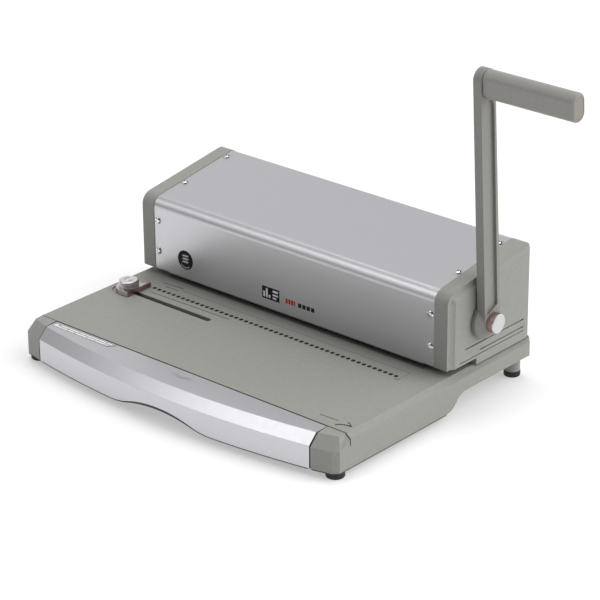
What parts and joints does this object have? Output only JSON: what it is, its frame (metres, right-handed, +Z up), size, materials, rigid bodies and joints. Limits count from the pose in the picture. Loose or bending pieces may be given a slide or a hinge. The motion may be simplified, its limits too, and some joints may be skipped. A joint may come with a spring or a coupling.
{
  "type": "manual coil binding punch",
  "caption": "Desktop paper punch for coil binding: broad grey deck with an edge guide, silver covered punch head, side lever with a cross grip and a bowed chip drawer.",
  "frame": {"origin": "centre of the bounding box, on the plane the feet stand on", "axes": "+X to the right as the user faces the machine, along the punch; +Y away from the user; +Z up"},
  "size_m": [0.4704, 0.287, 0.3127],
  "materials": {
    "body_plastic": "satin moulded plastic, warm grey",
    "tray_plastic": "plain moulded plastic, dark grey",
    "bottom_sheet": "powder coat, dark grey",
    "silver_sheet": "silver satin sheet",
    "lever_paint": "satin paint, warm grey",
    "grip_plastic": "semi-gloss plastic, warm grey",
    "bright_chrome": "bright plating",
    "foot_rubber": "black rubber",
    "frame_steel": "zinc-plated plate",
    "tool_steel": "ground steel",
    "plain_steel": "plain steel",
    "bushing_brass": "turned brass"
  },
  "bodies": {
    "machine": {"base_housing": "body_plastic", "base_plate": "bottom_sheet", "corner_cap_left": "body_plastic", "corner_cap_right": "body_plastic", "front_feet": "foot_rubber", "rear_feet": "foot_rubber", "base_screws": "plain_steel", "tray_runner_left": "tray_plastic", "tray_runner_right": "tray_plastic", "frame_plate_left": "frame_steel", "frame_plate_right": "frame_steel", "die_plate": "tool_steel", "paper_stop": "frame_steel", "stripper_plate": "tool_steel", "top_beam": "frame_steel", "guide_posts": "tool_steel", "shaft_bushings": "bushing_brass", "head_cover": "silver_sheet", "end_cap_left": "body_plastic", "end_cap_right": "body_plastic", "cover_screws": "bright_chrome", "frame_bolts": "plain_steel", "frame_nuts": "plain_steel"},
    "lever": {"lever_arm": "lever_paint", "lever_hub": "lever_paint", "pivot_cap": "bright_chrome", "lever_grip": "grip_plastic", "grip_end_cap": "grip_plastic", "grip_core": "plain_steel", "drive_shaft": "plain_steel", "pinion_left": "tool_steel", "pinion_right": "tool_steel", "shaft_collars": "plain_steel", "lever_bolt": "plain_steel"},
    "punch": {"pressure_bar": "tool_steel", "pin_holder": "tool_steel", "punch_pins": "tool_steel", "rack_left": "tool_steel", "rack_right": "tool_steel", "return_springs": "plain_steel"},
    "guide": {"stop_plate": "bright_chrome", "guide_slider": "plain_steel", "guide_stud": "plain_steel"},
    "knob": {"guide_knob": "bright_chrome"},
    "drawer": {"chip_tray": "tray_plastic", "drawer_front": "silver_sheet", "drawer_screws": "plain_steel"}
  },
  "joints": [
    {"name": "lever_hinge", "type": "hinge", "parent": "machine", "child": "lever", "pos_m": [-0.0502, 0.073, 0.0795], "axis": [1, 0, 0], "range_deg": [0, 75], "stiffness_Nm_per_rad": 0.6, "springref_deg": -28.65},
    {"name": "punch_slide", "type": "slide", "parent": "machine", "child": "punch", "axis": [0, 0, -1], "range_m": [0, 0.0118], "deforming": ["return_springs"]},
    {"name": "guide_slide", "type": "slide", "parent": "machine", "child": "guide", "axis": [1, 0, 0], "range_m": [-0.0085, 0.098]},
    {"name": "knob_turn", "type": "hinge", "parent": "guide", "child": "knob", "pos_m": [-0.2082, -0.0164, 0.046], "axis": [0, 0, 1], "range_deg": [0, 360]},
    {"name": "drawer_slide", "type": "slide", "parent": "machine", "child": "drawer", "axis": [0, -1, 0], "range_m": [0, 0.12]}
  ],
  "couplings": [
    {"joint": "punch_slide", "follows": "lever_hinge", "m_per_rad": 0.009}
  ]
}
